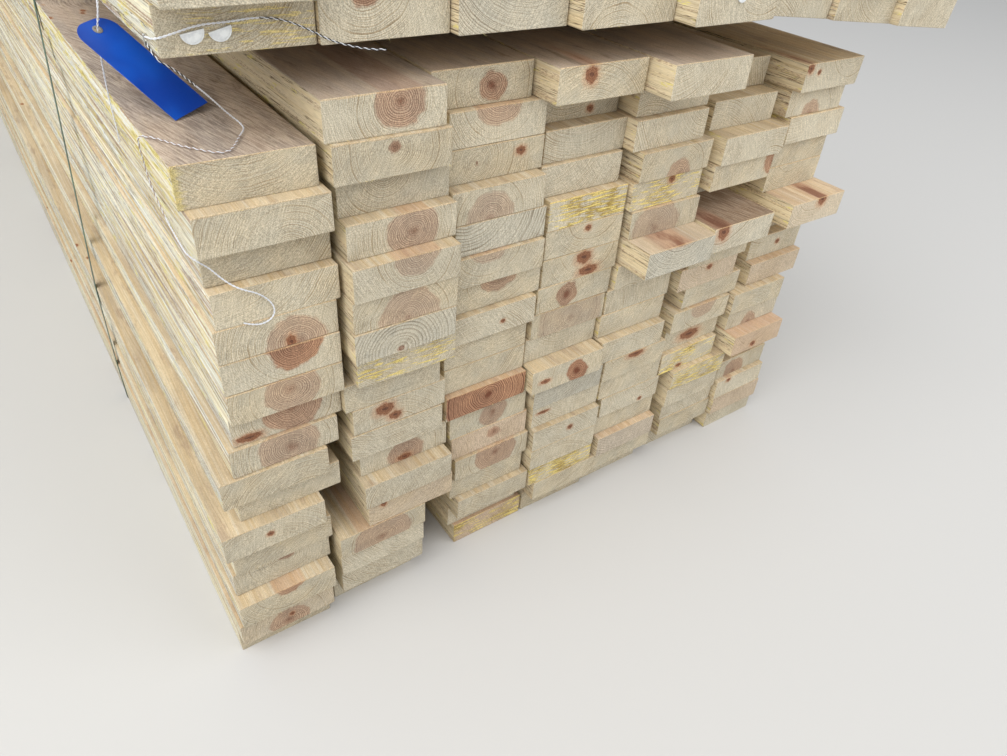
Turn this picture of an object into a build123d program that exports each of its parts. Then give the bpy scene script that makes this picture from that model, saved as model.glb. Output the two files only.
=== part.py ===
from build123d import *
import math
import os

# A lower pack of sawn boards lies on the ground, with the start of a second pack on bearers on top of it.
# +X is across the boards from left to right, +Y is along them to the back, +Z is up. Millimetres.

# Boards
BOARD_WIDTH = 150.0
BOARD_THICKNESS = 47.0
BOARD_LENGTH = 3600.0
EASED_EDGE = 1.5

# Lower pack: courses of boards laid flat, side by side
COLUMN_PITCH = 165.0
COLUMN_COUNT = 7

# How far each board's front end stands out of the pack's end, from the top course to the bottom one and
# from left to right. None is a place with no board.
END_OFFSETS = [
    [None, 10, -35, 10, 55, None, None],
    [0, 15, -25, -55, -20, -60, 5],
    [20, -5, -25, -30, -10, -25, -15],
    [-5, 15, -5, -25, 0, 10, -10],
    [10, 35, -5, -10, -5, 0, -25],
    [10, 30, 0, -10, 0, -80, -25],
    [10, 30, -10, -10, 50, 40, 40],
    [10, 20, 0, -10, -5, 5, -40],
    [-5, 5, -10, -10, -10, 0, -20],
    [0, 5, -10, -15, -10, -5, -5],
    [5, 5, 0, 15, 5, 0, 10],
    [-10, -5, -5, 5, 5, -10, 0],
    [10, 20, -5, 0, 0, 0, 30],
    [0, 15, 0, 10, 0, 10, -30],
    [-5, 15, -5, 10, -5, 5, -5],
    [20, 10, 5, 5, 10, -5, 5],
    [15, 5, -25, 5, 0, -5, 5],
    [-10, -25, -20, -20, -25, -30, -5],
]

# How far each board lies to the right of its column's line, in the same order
SIDE_OFFSETS = [
    [None, -5, -15, -25, -35, None, None],
    [5, 0, 5, -5, -15, 0, 0],
    [10, 10, 5, -5, -20, -5, 5],
    [15, 10, 0, -10, -5, 0, 20],
    [15, 5, 5, 0, -10, 0, 20],
    [10, 5, 5, 0, -5, -5, 20],
    [10, 5, 10, 0, -5, -10, 30],
    [10, 10, 0, -5, -10, -10, 20],
    [10, -5, -5, -10, -20, -20, 25],
    [0, 5, -5, -15, -25, 10, 25],
    [-20, 0, -5, -15, -25, -10, -20],
    [0, 15, 5, 0, -10, -10, -5],
    [-35, 10, 10, 5, -5, -15, -5],
    [-25, 15, 15, 5, 5, 20, 10],
    [-30, -35, 10, 5, 5, 20, 20],
    [-35, -35, 20, 10, 5, 30, 20],
    [-40, -35, 20, 25, 15, 35, 25],
    [-40, -40, 30, 20, 10, 35, 30],
]

# Upper pack: its boards lie close together, and those past the lower pack's top course have sagged
UPPER_GAP = 1.5
UPPER_END_OFFSETS = [
    [-10, -5, 10, 35, 70, 50, 60, 75],
    [25, 0, 15, 30, 55, 45, 70, 60],
]
UPPER_LEVEL_COLUMNS = 5
SAG_ANGLE = 5.5

# Bearers between the packs
BEARER_THICKNESS = 47.0
BEARER_WIDTH = 75.0
BEARER_INSET = 900.0
BEARER_COUNT = 3
BEARER_INSET_ACROSS = 75.0

# Straps round the lower pack
STRAP_WIDTH = 16.0
STRAP_THICKNESS = 0.8
STRAP_CLEARANCE = 0.3
STRAP_INSET = 750.0

# The pack's weight has pressed each strap into the undersides of the bottom boards
STRAP_DENT = STRAP_THICKNESS + 2 * STRAP_CLEARANCE

# A blank tag hangs by a string from the first board of the upper pack. Its lower corner rests on the board
# below. Places are measured from that first board's lower left front corner.
TAG_WIDTH = 50.0
TAG_LENGTH = 140.0
TAG_THICKNESS = 0.8
TAG_ROUND = 18.0
TAG_CORNER = (26.3, 111.3)
TAG_CLEARANCE = 0.2
TAG_ACROSS = (0.861, 0.491, 0.134)
TAG_NORMAL = (0.172, -0.528, 0.832)
EYELET_INSET = 13.0
EYELET_BORE = 3.0
EYELET_WALL = 0.4
EYELET_FLANGE = 5.2
EYELET_LIP = 0.4

# Strings, staples and clips
STRING_DIAMETER = 2.2
STAPLE_WIRE = 1.2
STAPLE_WIDTH = 11.0
STAPLE_BEND = 1.0
STAPLE_CLEARANCE = 0.2
TAG_STAPLE = (226.0, 29.0)
TWINE_STAPLE = (32.5, 8.5)
CLIP_RADIUS = 11.0
CLIP_THICKNESS = 1.6
CLIP_RIM = 1.2
CLIP_DISH = 0.8
CLIP_PLACES = ((31.5, 21.0, 10.0), (56.5, 21.5, 14.0))
DISC_WIDTH = 20.0
DISC_HEIGHT = 24.0
DISC_SLOT = (3.0, 9.0)
DISC_PLACE = (75.0, 36.0)
DISC_BOARD = 4

# The strings' routes, from the first upper board's lower left front corner
TAG_STRING = [
    (-1.4, 224, 32), (-2.2, 221.5, 9), (-13.8, 209.9, -21.5), (-15.5, 219, -52), (-17, 225, -91),
    (-16.6, 227.5, -127), (-17, 228, -150),
]
TAG_STRING_END = [(-1.4, 228, 31), (-2.2, 229, 15), (-5, 224.5, 0), (-8.5, 218, -13.5)]
END_TWINE = [
    (-1.4, 38, 10.5), (-1.7, 20.5, 14), (-3.8, 3, 17), (1.2, -5, 18.5), (15, -2.7, 21),
    (38, -1.7, 26.5), (66, -1.9, 27), (91, -1.7, 29.5), (117, -2.5, 26), (142, -5.8, 15),
    (162, -7.2, 4), (184, -7, -3), (206, -7.3, -8), (222, -7.1, -9),
]
CORNER_TWINE = [
    (-1.4, 35.5, 6.5), (-1.7, 24, 3), (0.5, 12, -4.5), (13, 15, -13), (30, 33, -31), (54, 58, -58),
    (71, 72, -79), (84, 71.5, -91.8), (83, 56.5, -92.7), (70, 36.5, -92.7), (57.5, 14, -92.7),
    (48, 1.5, -92.7), (36, 2.5, -92.7), (22, 20, -92.7), (6, 42, -92.7), (-6, 66, -92.4),
    (-20.5, 79, -91.6), (-20.2, 86, -106), (-18.5, 91, -122), (-17.8, 92, -138), (-17, 87, -152),
    (-16, 74, -166), (-15.5, 56, -176), (-15, 36, -183), (-14.6, 16, -187.5), (-14, -1, -192),
    (-7, -10.5, -198), (4, -9.5, -209), (13, -12.5, -222), (21, -19.5, -229.5), (31, -26.5, -235),
    (45, -23.5, -244), (57, -22.6, -256), (63.5, -22.2, -270), (60, -22, -282), (48, -22.1, -287),
    (36, -22.3, -284.5), (26, -22.2, -279),
]

COURSE_COUNT = len(END_OFFSETS)
PACK_TOP = COURSE_COUNT * BOARD_THICKNESS
PACK_LEFT = -((COLUMN_COUNT - 1) * COLUMN_PITCH + BOARD_WIDTH) / 2
PACK_FRONT = -BOARD_LENGTH / 2
STRAP_PLACES = (PACK_FRONT + STRAP_INSET, PACK_FRONT + BOARD_LENGTH - STRAP_INSET)
UPPER_BOTTOM = PACK_TOP + BEARER_THICKNESS
UPPER_PITCH = BOARD_WIDTH + UPPER_GAP
UPPER_COLUMN_COUNT = len(UPPER_END_OFFSETS[0])


def board_section():
    section = Rectangle(BOARD_WIDTH, BOARD_THICKNESS)
    return chamfer(section.vertices(), EASED_EDGE)


def board(left, underside, end_offset):
    """A board along Y, with its front end that far out of the pack's end."""
    centre = (left + BOARD_WIDTH / 2, PACK_FRONT - end_offset, underside + BOARD_THICKNESS / 2)
    end_plane = Plane(origin=centre, x_dir=(1, 0, 0), z_dir=(0, 1, 0))
    return extrude(end_plane * board_section(), BOARD_LENGTH)


def course_underside(course):
    return PACK_TOP - (course + 1) * BOARD_THICKNESS


def board_left(course, column):
    return PACK_LEFT + column * COLUMN_PITCH + SIDE_OFFSETS[course][column]


def columns_of(course):
    return [column for column in range(COLUMN_COUNT) if END_OFFSETS[course][column] is not None]


def dented(piece):
    """A bottom board with the straps' dents across its underside."""
    dent = Box(2 * abs(PACK_LEFT) + BOARD_WIDTH, STRAP_WIDTH + 2 * STRAP_CLEARANCE, 2 * STRAP_DENT)
    for y in STRAP_PLACES:
        piece -= Pos(0, y, 0) * dent
    return piece


def lower_course(course):
    boards = [
        board(board_left(course, column), course_underside(course), END_OFFSETS[course][column])
        for column in columns_of(course)
    ]
    if course == COURSE_COUNT - 1:
        boards = [dented(piece) for piece in boards]
    return Compound(children=boards)


def sag_mitre():
    """How far the bend in a bearer's underside lies to the left of the bend in its top."""
    return BEARER_THICKNESS * math.tan(math.radians(SAG_ANGLE / 2))


def sag_start():
    """Where the bearers bend down, so that their undersides clear the lower pack's last top board."""
    return board_left(0, columns_of(0)[-1]) + BOARD_WIDTH + sag_mitre()


def upper_left(column):
    """The left edge of an upper board, with the last level one ending where the bearers bend down."""
    return sag_start() + (column - UPPER_LEVEL_COLUMNS) * UPPER_PITCH


def upper_course(course):
    """One course of the upper pack. The boards past the last level one turn down with the bearers."""
    turn = Axis((sag_start(), 0, UPPER_BOTTOM), (0, 1, 0))
    boards = []
    for column, end_offset in enumerate(UPPER_END_OFFSETS[course]):
        piece = board(upper_left(column), UPPER_BOTTOM + course * BOARD_THICKNESS, end_offset)
        if column >= UPPER_LEVEL_COLUMNS:
            piece = piece.rotate(turn, SAG_ANGLE)
        boards.append(piece)
    return Compound(children=boards)


def bearer(y):
    """A bearer across the lower pack, bent down under the upper pack's sagging boards."""
    left = upper_left(0) + BEARER_INSET_ACROSS
    bend = sag_start()
    sagging = upper_left(UPPER_COLUMN_COUNT) - UPPER_GAP - bend - BEARER_INSET_ACROSS
    down_x = math.cos(math.radians(SAG_ANGLE))
    down_z = -math.sin(math.radians(SAG_ANGLE))
    end_x = bend + sagging * down_x
    end_z = BEARER_THICKNESS + sagging * down_z
    outline = [
        (left, 0),
        (left, BEARER_THICKNESS),
        (bend, BEARER_THICKNESS),
        (end_x, end_z),
        (end_x + BEARER_THICKNESS * down_z, end_z - BEARER_THICKNESS * down_x),
        (bend - sag_mitre(), 0),
    ]
    plane = Plane(origin=(0, y + BEARER_WIDTH / 2, PACK_TOP), x_dir=(1, 0, 0), z_dir=(0, -1, 0))
    return extrude(plane * make_face(Polyline(*outline, close=True)), BEARER_WIDTH)


def turns_left(a, b, c):
    return (b[0] - a[0]) * (c[1] - a[1]) - (b[1] - a[1]) * (c[0] - a[0]) > 0


def half_hull(points):
    """The convex chain through points that are sorted along the way it runs."""
    chain = []
    for point in points:
        while len(chain) > 1 and not turns_left(chain[-2], chain[-1], point):
            chain.pop()
        chain.append(point)
    return chain[:-1]


def pack_outline():
    """The shape of a tight band round the lower pack's boards, seen from the front."""
    corners = []
    for course in range(COURSE_COUNT):
        underside = course_underside(course)
        left = board_left(course, columns_of(course)[0])
        right = board_left(course, columns_of(course)[-1]) + BOARD_WIDTH
        for x, inward in ((left, EASED_EDGE), (right, -EASED_EDGE)):
            corners.append((x, underside + EASED_EDGE))
            corners.append((x, underside + BOARD_THICKNESS - EASED_EDGE))
            corners.append((x + inward, max(underside, STRAP_DENT)))
            corners.append((x + inward, underside + BOARD_THICKNESS))
    corners.sort()
    hull = half_hull(corners) + half_hull(corners[::-1])
    return make_face(Polyline(*hull, close=True))


def strap(y):
    """A flat strap drawn tight round the lower pack."""
    inside = offset(pack_outline(), STRAP_CLEARANCE, kind=Kind.INTERSECTION)
    outside = offset(inside, STRAP_THICKNESS, kind=Kind.INTERSECTION)
    plane = Plane(origin=(0, y + STRAP_WIDTH / 2, 0), x_dir=(1, 0, 0), z_dir=(0, -1, 0))
    return extrude(plane * (outside - inside), STRAP_WIDTH)


def spread(first, last, count):
    """Evenly spaced places from the first to the last."""
    return [first + (last - first) * index / (count - 1) for index in range(count)]


def upper_corner():
    """The lower left front corner of the upper pack's first board."""
    return Vector(upper_left(0), PACK_FRONT - UPPER_END_OFFSETS[0][0], UPPER_BOTTOM)


def tag_plane():
    """The tag's underside, from its lower left corner, with X across the tag and Y along it."""
    x, y = TAG_CORNER
    top = course_underside(1) + BOARD_THICKNESS + TAG_CLEARANCE
    corner = upper_corner()
    return Plane(origin=(corner.X + x, corner.Y + y, top), x_dir=TAG_ACROSS, z_dir=TAG_NORMAL)


def tag():
    sheet = Rectangle(TAG_WIDTH, TAG_LENGTH, align=(Align.MIN, Align.MIN))
    sheet = fillet(sheet.vertices().sort_by(Axis.Y)[2:], TAG_ROUND)
    sheet -= Pos(TAG_WIDTH / 2, TAG_LENGTH - EYELET_INSET) * Circle(EYELET_BORE + EYELET_WALL)
    return extrude(tag_plane() * sheet, TAG_THICKNESS)


def eyelet():
    """A metal eyelet through the tag, with a lip on each side."""
    outer = EYELET_BORE + EYELET_WALL
    profile = Polyline(
        (EYELET_BORE, -EYELET_LIP),
        (EYELET_FLANGE, -EYELET_LIP),
        (EYELET_FLANGE, 0),
        (outer, 0),
        (outer, TAG_THICKNESS),
        (EYELET_FLANGE, TAG_THICKNESS),
        (EYELET_FLANGE, TAG_THICKNESS + EYELET_LIP),
        (EYELET_BORE, TAG_THICKNESS + EYELET_LIP),
        close=True,
    )
    ring = revolve(Plane.XZ * make_face(profile), Axis.Z)
    return tag_plane().location * Pos(TAG_WIDTH / 2, TAG_LENGTH - EYELET_INSET, 0) * ring


def string(name, route):
    """A string along its route, with the largest arcs that its runs allow."""
    points = [upper_corner() + Vector(*point) for point in route]
    runs = [b - a for a, b in zip(points, points[1:])]
    radii = []
    for before, after in zip(runs, runs[1:]):
        turn = math.radians(before.get_angle(after))
        radii.append(0.45 * min(before.length, after.length) / math.tan(turn / 2))
    path = FilletPolyline(*points, radius=radii)
    print(name, "length", round(path.length), "radii", [round(radius, 1) for radius in radii])
    start = Plane(origin=path @ 0, z_dir=path % 0)
    return sweep(start * Circle(STRING_DIAMETER / 2), path=path)


def staple(along, up, upright):
    """A wire staple over the strings on the first upper board's left side. Its legs are in the board."""
    reach = STRING_DIAMETER + 2 * STAPLE_CLEARANCE + STAPLE_WIRE / 2
    half = (0, 0, STAPLE_WIDTH / 2) if upright else (0, STAPLE_WIDTH / 2, 0)
    foot = upper_corner() + Vector(0, along, up)
    out = Vector(-reach, 0, 0)
    ends = [foot - Vector(*half), foot + Vector(*half)]
    wire = FilletPolyline(ends[0], ends[0] + out, ends[1] + out, ends[1], radius=STAPLE_BEND)
    return sweep(Plane(origin=wire @ 0, z_dir=wire % 0) * Circle(STAPLE_WIRE / 2), path=wire)


def clip(along, up, lean):
    """A half-moon clip on the first upper board's end, dished inside its rim."""
    keep = Pos(0, -CLIP_RADIUS) * Rectangle(4 * CLIP_RADIUS, 2 * CLIP_RADIUS)
    edge = (math.cos(math.radians(lean)), 0, math.sin(math.radians(lean)))
    plane = Plane(origin=upper_corner() + Vector(along, 0, up), x_dir=edge, z_dir=(0, -1, 0))
    dish = Circle(CLIP_RADIUS - CLIP_RIM) & Pos(0, -CLIP_RIM) * keep
    body = extrude(plane * (Circle(CLIP_RADIUS) & keep), CLIP_THICKNESS)
    return body - extrude(plane.offset(CLIP_THICKNESS - CLIP_DISH) * dish, CLIP_DISH)


def disc():
    """An oval disc with a slot, on the end of one of the upper boards."""
    x = upper_left(DISC_BOARD) + DISC_PLACE[0]
    end = PACK_FRONT - UPPER_END_OFFSETS[0][DISC_BOARD]
    plane = Plane(origin=(x, end, UPPER_BOTTOM + DISC_PLACE[1]), x_dir=(1, 0, 0), z_dir=(0, -1, 0))
    outline = Ellipse(DISC_WIDTH / 2, DISC_HEIGHT / 2) - Rectangle(*DISC_SLOT)
    return extrude(plane * outline, CLIP_THICKNESS)


pieces = {}
for course in range(COURSE_COUNT):
    pieces[f"course_{course + 1:02d}"] = lower_course(course)
for course in range(len(UPPER_END_OFFSETS)):
    pieces[f"upper_course_{course + 1}"] = upper_course(course)
for index, y in enumerate(spread(BEARER_INSET, BOARD_LENGTH - BEARER_INSET, BEARER_COUNT)):
    pieces[f"bearer_{index + 1}"] = bearer(PACK_FRONT + y)
for name, y in zip(("front_strap", "back_strap"), STRAP_PLACES):
    pieces[name] = strap(y)

pieces["tag"] = tag()
pieces["eyelet"] = eyelet()
pieces["tag_staple"] = staple(*TAG_STAPLE, upright=False)
pieces["twine_staple"] = staple(*TWINE_STAPLE, upright=True)
pieces["clip_1"] = clip(*CLIP_PLACES[0])
pieces["clip_2"] = clip(*CLIP_PLACES[1])
pieces["disc"] = disc()
pieces["tag_string"] = string("tag_string", TAG_STRING)
pieces["tag_string_end"] = string("tag_string_end", TAG_STRING_END)
pieces["end_twine"] = string("end_twine", END_TWINE)
pieces["corner_twine"] = string("corner_twine", CORNER_TWINE)

# The origin is on the ground, under the middle of the whole stack
boxes = [piece.bounding_box() for piece in pieces.values()]
middle_x = round((min(box.min.X for box in boxes) + max(box.max.X for box in boxes)) / 2, 1)
middle_y = round((min(box.min.Y for box in boxes) + max(box.max.Y for box in boxes)) / 2, 1)

os.makedirs("parts", exist_ok=True)
for name, piece in pieces.items():
    export_step(Pos(-middle_x, -middle_y, 0) * piece, f"parts/{name}.step")
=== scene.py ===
import math

import bpy
import numpy as np
from mathutils import Matrix, Vector


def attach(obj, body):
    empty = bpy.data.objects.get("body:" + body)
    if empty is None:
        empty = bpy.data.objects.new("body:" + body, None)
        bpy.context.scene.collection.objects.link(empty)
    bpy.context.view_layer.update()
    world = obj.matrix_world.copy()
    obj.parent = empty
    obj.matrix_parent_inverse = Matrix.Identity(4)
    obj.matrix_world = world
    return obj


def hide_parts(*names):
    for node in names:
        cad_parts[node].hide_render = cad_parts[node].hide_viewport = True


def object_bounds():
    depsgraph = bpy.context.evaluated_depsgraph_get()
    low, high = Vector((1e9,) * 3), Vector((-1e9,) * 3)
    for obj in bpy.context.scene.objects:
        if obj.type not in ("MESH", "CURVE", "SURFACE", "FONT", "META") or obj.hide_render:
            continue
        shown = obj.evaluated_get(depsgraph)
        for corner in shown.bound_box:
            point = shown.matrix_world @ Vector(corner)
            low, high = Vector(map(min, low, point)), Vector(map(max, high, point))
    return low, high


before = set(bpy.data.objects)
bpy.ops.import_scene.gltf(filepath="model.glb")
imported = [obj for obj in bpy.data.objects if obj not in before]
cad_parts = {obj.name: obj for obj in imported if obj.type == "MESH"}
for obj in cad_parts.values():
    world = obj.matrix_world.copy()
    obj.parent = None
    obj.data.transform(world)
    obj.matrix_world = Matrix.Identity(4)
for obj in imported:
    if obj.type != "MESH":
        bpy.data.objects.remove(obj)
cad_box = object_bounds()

# The camera: its place in metres, and where it looks. The photograph is 1007 pixels wide.
CAMERA_PLACE = (-0.7321, -2.5323, 1.0938)
CAMERA_HEADING = 37.69
CAMERA_PITCH = -37.84
CAMERA_ROLL = 4.82
FOCAL_PIXELS = 737.3
PHOTO_WIDTH = 1007
SENSOR_WIDTH = 36.0

MM = 0.001
BOARD_WIDTH = 150 * MM
BOARD_THICKNESS = 47 * MM
HALF_LENGTH = 1.8
COURSES = 18
UPPER_COURSES = ("U1", "U2")

# Along a board: where its mesh has a section, as distances from either end in metres
STATIONS_FROM_END = (0.0, 0.0006, 0.004, 0.018, 0.05, 0.11, 0.2, 0.33, 0.5, 0.7, 0.95, 1.2, 1.5)
# Round a section: how many runs each corner, each broad side and each narrow side has
CORNER_RUNS, BROAD_RUNS, NARROW_RUNS = 3, 6, 3
# The ways in from a section's corners, anticlockwise from the lower left one
INWARD = np.array([(1, 1), (-1, 1), (-1, -1), (1, -1)])
# On a board's end: its rings of points, as shares of the way out from a line along its middle
END_RINGS = (0.9, 0.55)
MIDDLE_LINE = (0.3 * BOARD_WIDTH, 0.7 * BOARD_WIDTH)

# How far a board is out of true, in millimetres. It is thinner and narrower than the stock section by the
# first number and up to the second more, in slow waves of so many radians a metre. TILT_REACH is in metres.
EDGE_RADII = (0.9, 2.2)
THINNER = (0.15, 0.75)
NARROWER = (0.2, 1.1)
WAVE_RATES = (1.2, 4.5)
WAVES = 6
END_TILT = 1.4
END_EASE = 0.7
END_EASE_REACH = 0.6
END_ROUGHNESS = 0.5
TILT_REACH = 0.05


def srgb(*channels):
    """A colour from 0-255 sRGB, as the linear RGBA that the shader uses."""
    shares = [channel / 255 for channel in channels]
    return (*(((c + 0.055) / 1.055) ** 2.4 if c > 0.04045 else c / 12.92 for c in shares), 1.0)


DEFAULT_LOOK = dict(depth=0.8, ring=2.4, weather=0.0, pink=0.0, grey=0.0, torn=0.0, fuzz=0.0, knots=[])


def look(*heart, **rest):
    """A board's look, where what isn't given is as in DEFAULT_LOOK."""
    return {**DEFAULT_LOOK, "heart": heart, **rest}


# How each end looks. A board is (column, course) in the lower pack, and (column, "U1") or (column, "U2") in
# the upper one. Sizes are in millimetres from the board's lower left edge.
# The first three numbers are the pith's place and the heartwood's radius. depth: how dark the heartwood is.
# ring: a year's width. knots: each one's place and half sizes. weather, pink and grey: the wood's tint.
# Weathering above 1 is partly painted shade, which darkens a broad face under the boards above.
# torn: yellow fibres on the end. fuzz: yellow fibres on the left edge.
LOOKS = {
    (2, 1): look(93, 33, 31, depth=1.0),
    (3, 1): look(89, 20, 19, depth=1.1),
    (4, 1): look(52, -60, 0, knots=[(52, 33, 12, 13)]),
    (1, 2): look(70, 120, 0, weather=1.0, fuzz=1.0),
    (2, 2): look(76, 33, 6),
    (3, 2): look(76, 59, 38),
    (4, 2): look(60, 90, 0, knots=[(96, 11, 7, 6)]),
    (6, 2): look(-110, -70, 0, ring=4.2, depth=0.7),
    (7, 2): look(120, 70, 0, knots=[(8, 38, 9, 9), (34, 30, 5, 5)]),
    (1, 3): look(97, -14, 0),
    (2, 3): look(64, 47, 7),
    (3, 3): look(42, 26, 0, ring=2.6, knots=[(112, 30, 9, 7)]),
    (7, 3): look(72, -6, 26),
    (2, 4): look(88, 21, 34, depth=0.75),
    (3, 4): look(62, -2, 39, depth=0.6),
    (5, 4): look(85, -2, 27),
    (2, 5): look(88, 50, 33, depth=0.6),
    (3, 5): look(20, 75, 0, ring=5.0, grey=0.5),
    (4, 5): look(60, 100, 0, torn=1.0),
    (5, 5): look(130, -30, 0, knots=[(82, 39, 8, 7)], torn=0.3),
    (6, 5): look(150, 30, 24, depth=1.3),
    (1, 6): look(95, 3, 36, depth=0.75, knots=[(88, 4, 7, 12)]),
    (2, 6): look(77, 5, 44, depth=0.6),
    (3, 6): look(55, 65, 36, depth=0.5),
    (4, 6): look(90, 70, 0, knots=[(80, 36, 7, 6)]),
    (5, 6): look(57, 8, 50, depth=0.5),
    (1, 7): look(90, 52, 38, depth=1.5),
    (2, 7): look(66, 5, 5, ring=5.2, grey=0.6),
    (3, 7): look(72, 53, 32, depth=0.9),
    (4, 7): look(86, 60, 0, knots=[(80, 33, 17, 13), (92, 8, 22, 11)]),
    (5, 7): look(70, 90, 0, grey=0.8, weather=0.45, knots=[(66, 52, 26, 8)]),
    # Its weathering of 1.4 is partly painted shade, for its top in the shade of the boards above
    (6, 7): look(23, 90, 0, ring=3.2, knots=[(23, 36, 16, 17)], grey=0.3, weather=1.4),
    (7, 7): look(60, 80, 0, pink=0.35, knots=[(84, 42, 14, 14)]),
    (1, 8): look(80, 28, 35, depth=0.7),
    (2, 8): look(90, 100, 0, torn=0.35),
    (3, 8): look(40, -60, 0, knots=[(90, 19, 5, 4)]),
    (4, 8): look(61, 20, 22, depth=1.1),
    (5, 8): look(30, -50, 0),
    (1, 9): look(82, 36, 40, depth=1.1, knots=[(22, 9, 20, 7)]),
    (4, 9): look(80, 22, 66, depth=0.35),
    (5, 9): look(-10, 15, 0),
    (6, 9): look(75, 90, 0, pink=0.6, knots=[(74, 35, 8, 6)]),
    (7, 9): look(30, 90, 0, knots=[(85, 24, 7, 6)]),
    (1, 10): look(80, 20, 40, depth=0.7),
    (2, 10): look(60, -40, 0, knots=[(50, 30, 17, 13), (66, 12, 12, 9)]),
    (7, 10): look(60, 100, 0, pink=0.6),
    (1, 11): look(110, -50, 0),
    (3, 11): look(78, 25, 80, ring=3.3, depth=1.6),
    (4, 11): look(93, 18, 22, depth=1.6, knots=[(27, 20, 12, 5)]),
    (6, 11): look(80, 50, 36, depth=0.6),
    (1, 12): look(120, 90, 0),
    (2, 12): look(80, 10, 30, depth=0.9, knots=[(74, 6, 14, 7)]),
    (3, 12): look(81, 28, 27),
    (4, 12): look(20, 100, 0, grey=0.7),
    (5, 12): look(76, 90, 0, knots=[(75, 40, 22, 8)]),
    (6, 12): look(70, 80, 0, knots=[(70, 20, 30, 13)]),
    (7, 12): look(69, -2, 26),
    (1, 13): look(60, -45, 0, knots=[(67, 24, 6, 5)]),
    (3, 13): look(84, 26, 12, pink=0.8),
    (4, 13): look(110, 100, 0, knots=[(24, 30, 15, 4)]),
    (6, 13): look(100, -70, 0, knots=[(53, 6, 9, 5)], torn=0.4),
    (7, 13): look(60, 70, 0, pink=1.0, knots=[(64, 12, 9, 7)]),
    (2, 14): look(26, 60, 0, pink=0.5, knots=[(26, 39, 6, 8)]),
    (3, 14): look(82, 30, 42, depth=0.9),
    (4, 14): look(20, -60, 0, knots=[(84, 23, 7, 6)]),
    (5, 14): look(120, 80, 0, knots=[(104, 7, 6, 5)]),
    (6, 14): look(60, 110, 0, torn=0.6),
    (1, 15): look(81, 41, 10),
    (2, 15): look(72, 12, 50, depth=0.7),
    (7, 15): look(56, 8, 32, depth=0.9),
    (1, 16): look(80, 58, 26, depth=1.2),
    (4, 16): look(40, 100, 0, torn=0.9),
    (5, 16): look(60, 100, 0, grey=0.7, pink=0.5),
    (7, 16): look(100, -60, 0, knots=[(37, 40, 8, 6)]),
    (1, 17): look(78, 8, 30, pink=0.3, knots=[(80, 22, 5, 5)]),
    (7, 17): look(70, 100, 0, pink=0.7),
    (3, 18): look(60, 60, 0, pink=1.0, torn=0.7),
    (1, "U1"): look(40, 110, 0, torn=0.2),
    (2, "U1"): look(50, 62, 28, depth=1.3),
    (3, "U1"): look(90, 100, 0, grey=0.5),
    (4, "U1"): look(60, -30, 0),
    (5, "U1"): look(120, 60, 30, depth=1.0),
}
TOP_COURSE_WEATHER = 0.9
# Where a board has no heart of its own above: the pith's place across the board, how far it is above or below
# the board's middle, and that middle, in millimetres
PITH_ACROSS = (-20, 170)
PITH_AWAY = (60, 120)
MID_HEIGHT = 23
# How bright a board is, the slant of its saw marks in radians, and how far its grain runs out of its faces
TONES = (0.93, 1.05)
SAW_ANGLES = (0.35, 2.2)
GRAIN_SLOPE = 0.03
# How streaky the sides of the first column and of the others are
STREAKY_FIRST, STREAKY_OTHERS = 1.0, 0.15
# Each board takes its noise from one of so many places, this many metres apart
NOISE_PLACES = 97
NOISE_PLACES_APART = 4.0

# In a knot's own coordinates its rim is at 1, so that this is far from any knot
NO_KNOT = (9.0, 9.0, 9.0)
KNOT_LENGTH = 90 * MM
# The share of the pattern's cells that have a scattered knot, and the distances from the front between which
# they set in. Nearer the front, the knots are those of LOOKS.
KNOT_CHANCE = 0.42
SCATTERED_FROM = (0.26, 0.4)

# Loose fibres. Their lengths are in millimetres, the other sizes in metres.
FIBRE_SEED = 77
FIBRES_ON_FRONT_EDGE = 10
FIBRES_ON_SIDE = 45
FIBRES_ON_FUZZY_EDGE = 420
FIBRE_ROOT = 1.0 * MM
FIBRE_FROM_ARRIS = 1.5 * MM
FIBRE_WIDTH = 0.45 * MM
FIBRE_LENGTHS = (1.2, 4.5)
FIBRE_BEND = 0.35
FIBRE_SHARES = (0.0, 0.35, 0.7, 1.0)
TUFTS = 3
TUFT_REACH = 0.24
TUFT_SPREAD = (0.02, 0.004)
CAD_MARGIN = 0.2 * MM


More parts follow.
